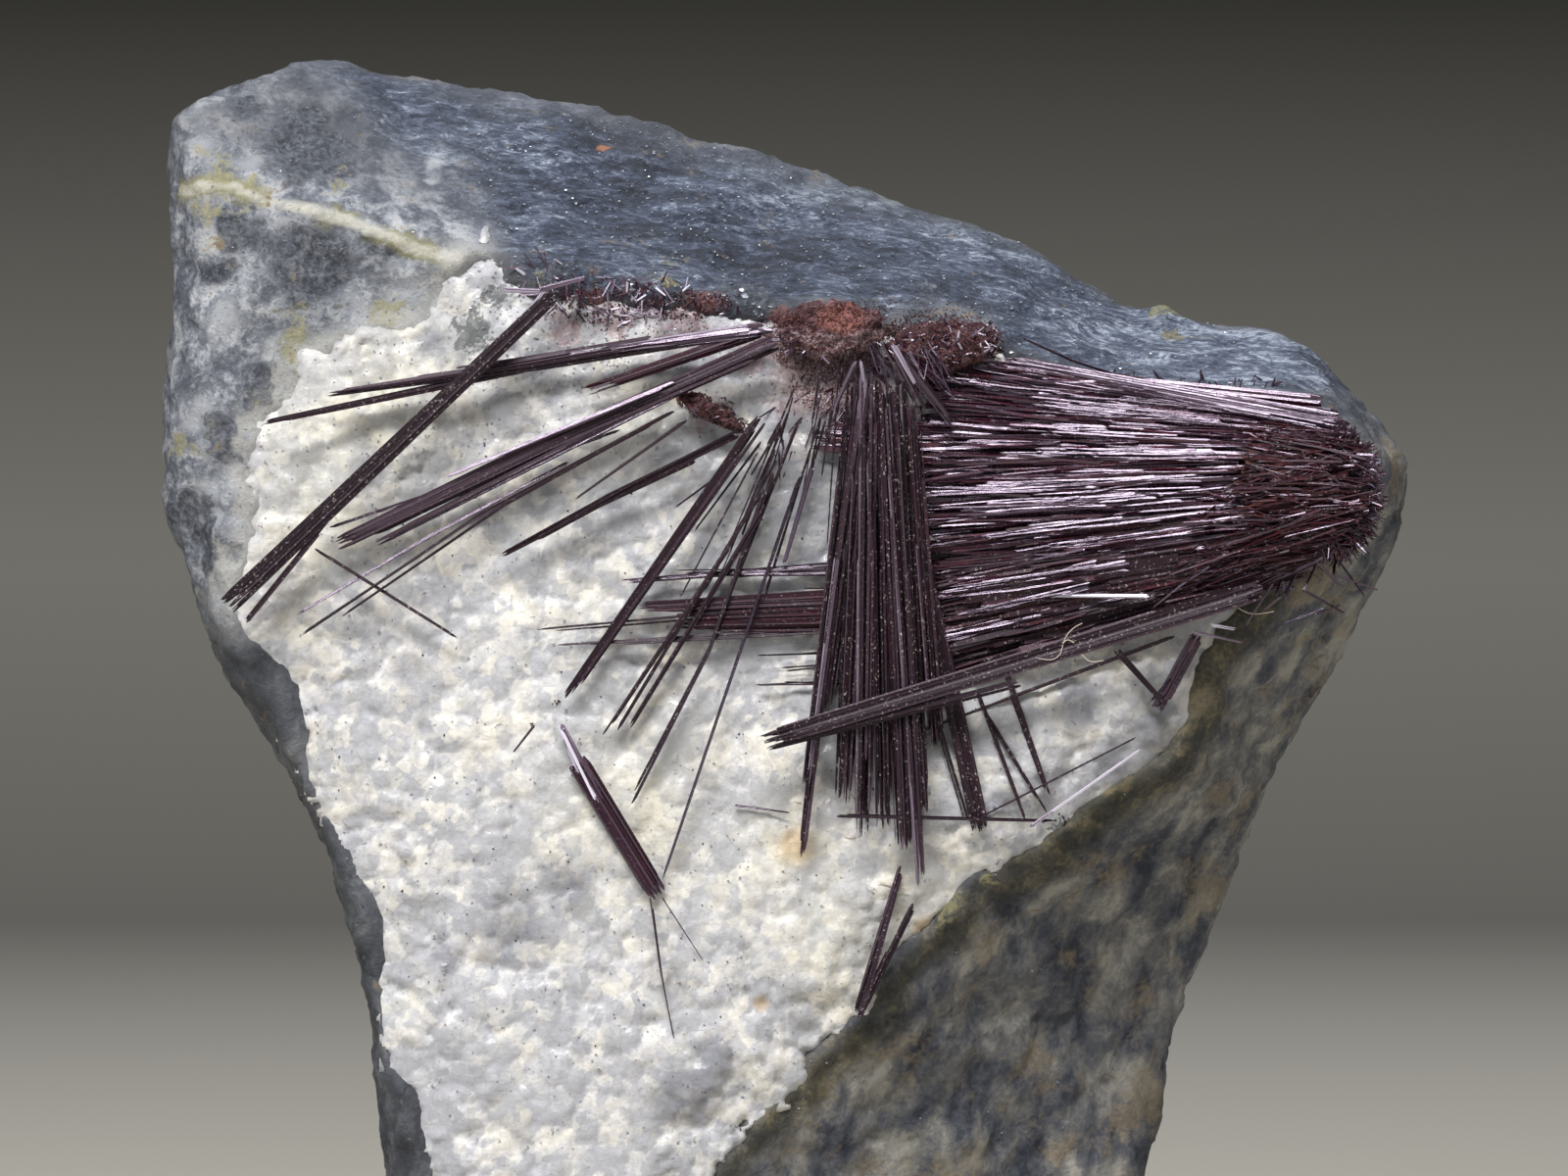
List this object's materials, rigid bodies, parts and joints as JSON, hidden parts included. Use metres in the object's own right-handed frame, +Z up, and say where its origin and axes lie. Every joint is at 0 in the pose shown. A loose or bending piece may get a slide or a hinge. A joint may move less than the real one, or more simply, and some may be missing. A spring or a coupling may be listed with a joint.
{
  "type": "kermesite mineral specimen",
  "caption": "Hand specimen of kermesite: sprays of dark purple-red metallic needles on a white sugary quartz face, backed by dark blue-grey slate. It stands on its flat broken foot.",
  "frame": {"origin": "in the middle of the flat foot that the specimen stands on, 6 mm behind the quartz face", "axes": "+Z up, +X to the right as seen facing the quartz face, +Y away from the viewer, from the quartz face into the stone"},
  "size_m": [0.0323, 0.0159, 0.0317],
  "materials": {
    "matrix": "matte",
    "sheaf_crystal": "gloss",
    "dusty_crystal": "satin",
    "red_crust": "matte"
  },
  "bodies": {
    "root": {"matrix": "matrix", "right_sheaf": "sheaf_crystal", "centre_spray": "dusty_crystal", "lower_blade": "dusty_crystal", "upper_left_blades": "dusty_crystal", "left_blade_bundle": "dusty_crystal", "long_left_blade": "dusty_crystal", "long_thin_needle": "dusty_crystal", "middle_left_needle": "dusty_crystal", "fan_broad_needle": "dusty_crystal", "fan_needle_pair": "dusty_crystal", "fan_long_needle": "dusty_crystal", "lower_needle_pair": "dusty_crystal", "lower_single_needle": "dusty_crystal", "stub": "dusty_crystal", "stub_companion": "dusty_crystal", "bright_needle": "sheaf_crystal", "short_bright_needle": "sheaf_crystal", "cross_needle_left": "dusty_crystal", "cross_needle_low": "dusty_crystal", "top_left_splinter": "sheaf_crystal", "loose_splinter_left": "sheaf_crystal", "loose_splinter_right": "dusty_crystal", "crust_dome": "red_crust", "crust_right": "red_crust", "crust_left": "red_crust"}
  },
  "joints": []
}
